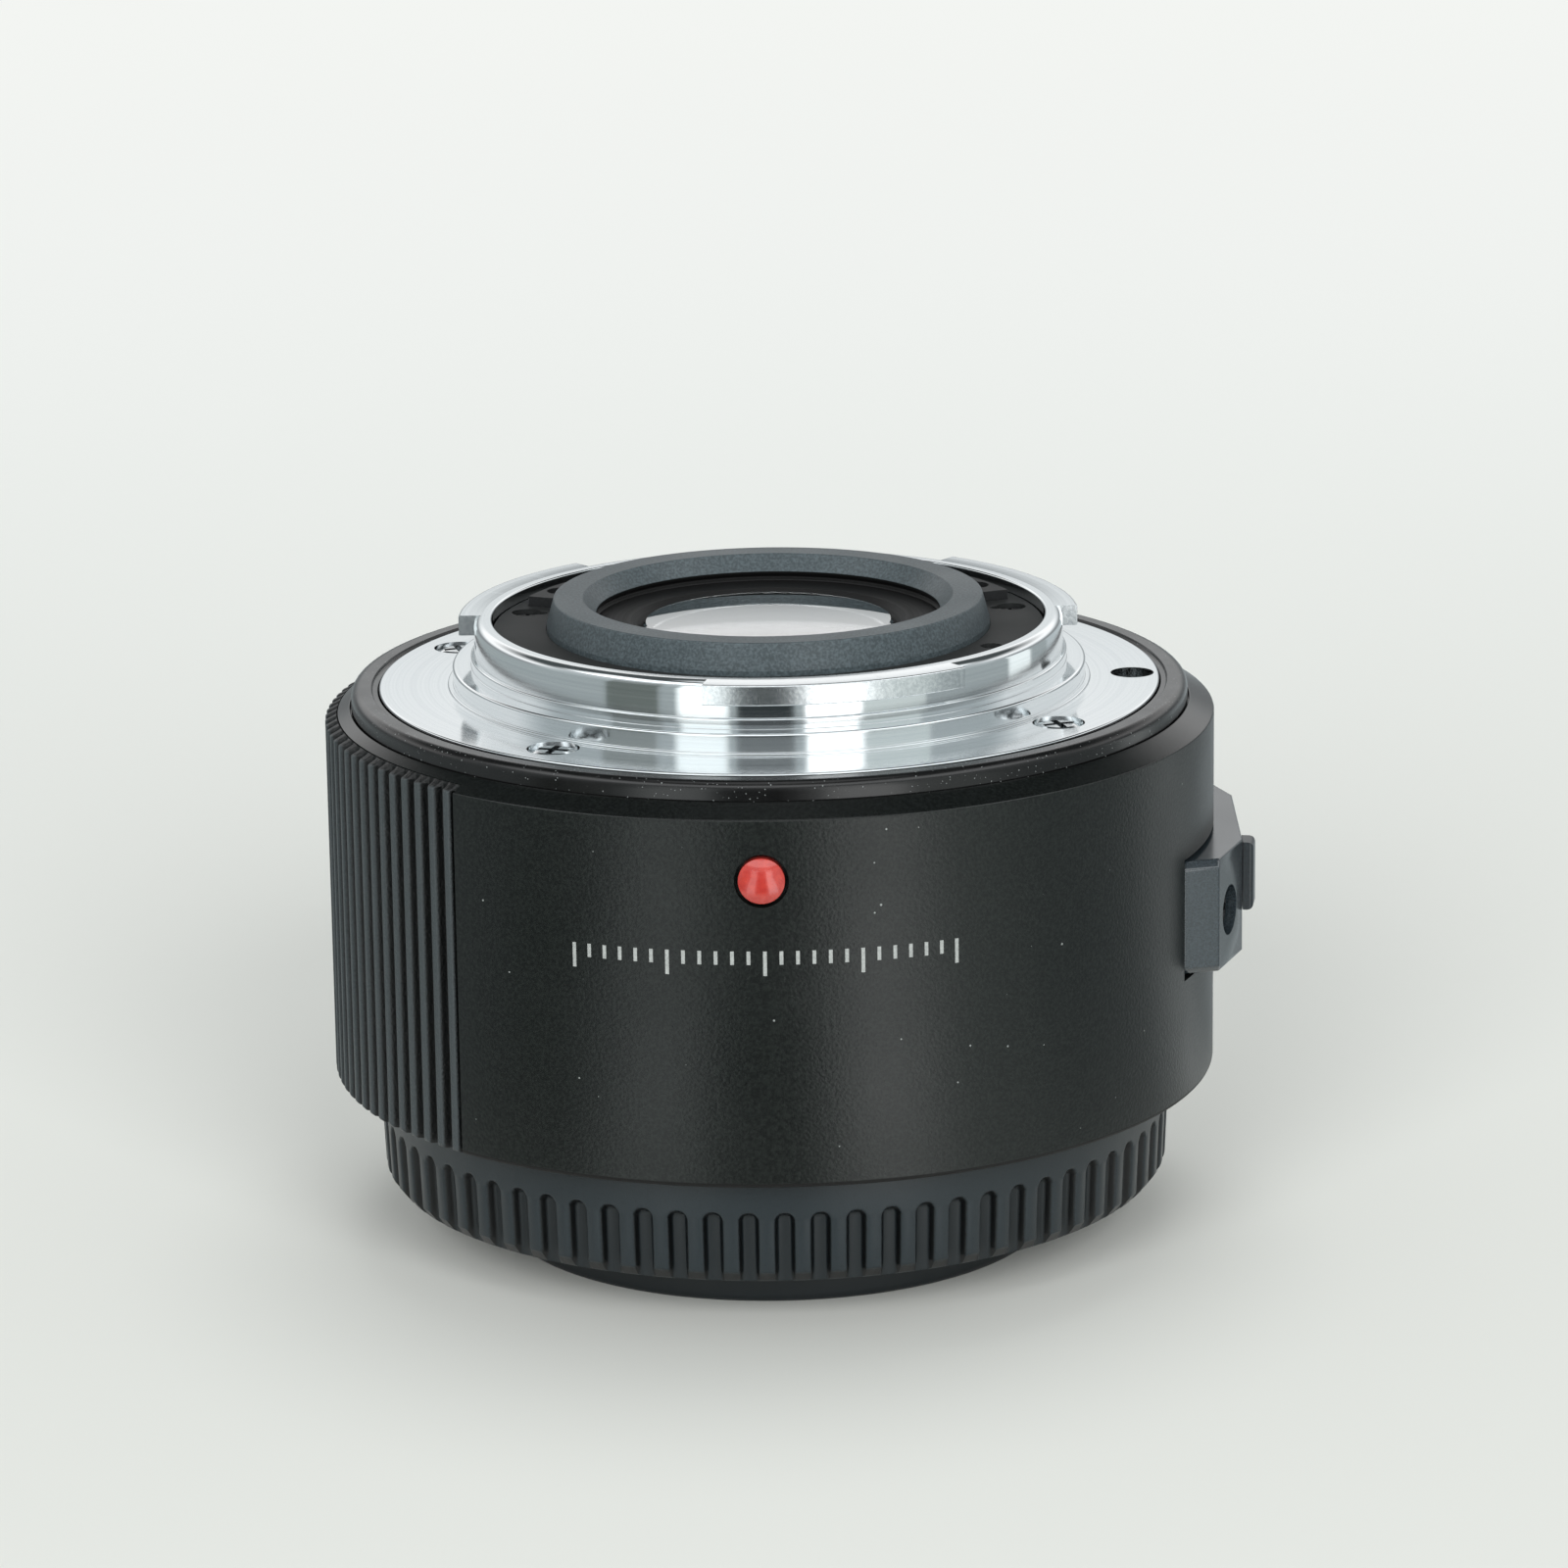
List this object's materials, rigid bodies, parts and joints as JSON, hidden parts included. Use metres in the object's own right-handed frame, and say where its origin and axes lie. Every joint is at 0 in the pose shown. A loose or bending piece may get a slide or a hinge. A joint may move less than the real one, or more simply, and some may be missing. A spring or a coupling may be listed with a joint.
{
  "type": "camera teleconverter",
  "caption": "Short black barrel with a bright camera-side bayonet, a ribbed grip, a side lens-release slide and a slotted lens-side dust cap; carries glass that lengthens a lens's focal length.",
  "frame": {"origin": "centre of the dust cap's base, on the optical axis", "axes": "+Z along the optical axis towards the camera, -Y towards the index bead, +X towards the lens release"},
  "size_m": [0.0773, 0.0747, 0.0541],
  "materials": {
    "barrel_paint": "satin",
    "grip_rubber": "matte",
    "seal_rubber": "gloss",
    "mount_chrome": "polished",
    "screw_chrome": "polished",
    "screw_black": "satin",
    "plate_black": "matte",
    "block_plastic": "matte",
    "tube_black": "satin",
    "cell_black": "matte",
    "lens_glass": "gloss",
    "index_red": "gloss",
    "housing_plastic": "satin",
    "tab_plastic": "satin",
    "cap_plastic": "satin",
    "contact_gold": "polished",
    "spring_steel": "satin",
    "shim_brass": "satin",
    "board_green": "satin",
    "flex_amber": "gloss"
  },
  "bodies": {
    "converter": {"outer_barrel": "barrel_paint", "grip_band": "grip_rubber", "rear_seal": "seal_rubber", "rear_mount": "mount_chrome", "rear_mount_screws": "screw_chrome", "mount_shim": "shim_brass", "rear_plate": "plate_black", "rear_plate_screws": "screw_black", "rear_contact_block": "block_plastic", "rear_contact_pads": "contact_gold", "contact_block_screws": "screw_black", "rear_tube": "tube_black", "lens_barrel": "cell_black", "front_retainer": "cell_black", "front_lens": "lens_glass", "front_spacer": "cell_black", "front_doublet_a": "lens_glass", "front_doublet_b": "lens_glass", "middle_doublet_a": "lens_glass", "middle_doublet_b": "lens_glass", "rear_spacer_a": "cell_black", "field_lens": "lens_glass", "rear_spacer_b": "cell_black", "rear_lens": "lens_glass", "rear_retainer": "cell_black", "index_bead": "index_red", "release_housing": "housing_plastic", "release_screws": "screw_black", "lock_spring": "spring_steel", "spring_bracket": "spring_steel", "bracket_screw": "screw_chrome", "front_mount": "mount_chrome", "front_mount_screws": "screw_chrome", "bayonet_springs": "spring_steel", "lens_index_dot": "index_red", "front_baffle": "plate_black", "baffle_screws": "screw_black", "front_contact_block": "block_plastic", "contact_springs": "spring_steel", "front_flex": "flex_amber", "circuit_board": "board_green", "control_chip": "block_plastic", "board_screws": "screw_chrome", "rear_flex": "flex_amber"},
    "cap": {"front_cap": "cap_plastic"},
    "release": {"release_tab": "tab_plastic", "cam_plate": "spring_steel"},
    "lock": {"lock_pin": "spring_steel"},
    "contacts": {"contact_pins": "contact_gold"}
  },
  "joints": [
    {"name": "cap_twist", "type": "hinge", "parent": "converter", "child": "cap", "pos_m": [0, 0, 0], "axis": [0, 0, -1], "range_deg": [0, 57]},
    {"name": "release_slide", "type": "hinge", "parent": "converter", "child": "release", "pos_m": [0, 0, 0], "axis": [0, 0, 1], "range_deg": [0, 9], "stiffness_Nm_per_rad": 0.38, "springref_deg": -5.73},
    {"name": "lock_pin_lift", "type": "slide", "parent": "converter", "child": "lock", "axis": [0, 0, 1], "range_m": [0, 0.002], "deforming": ["lock_spring"]},
    {"name": "contact_pins_press", "type": "slide", "parent": "converter", "child": "contacts", "axis": [0, 0, 1], "range_m": [0, 0.0008], "stiffness_N_per_m": 480, "springref_m": -0.0012, "deforming": ["contact_springs"]}
  ],
  "couplings": [
    {"joint": "lock_pin_lift", "follows": "release_slide", "m_per_rad": 0.012732}
  ]
}
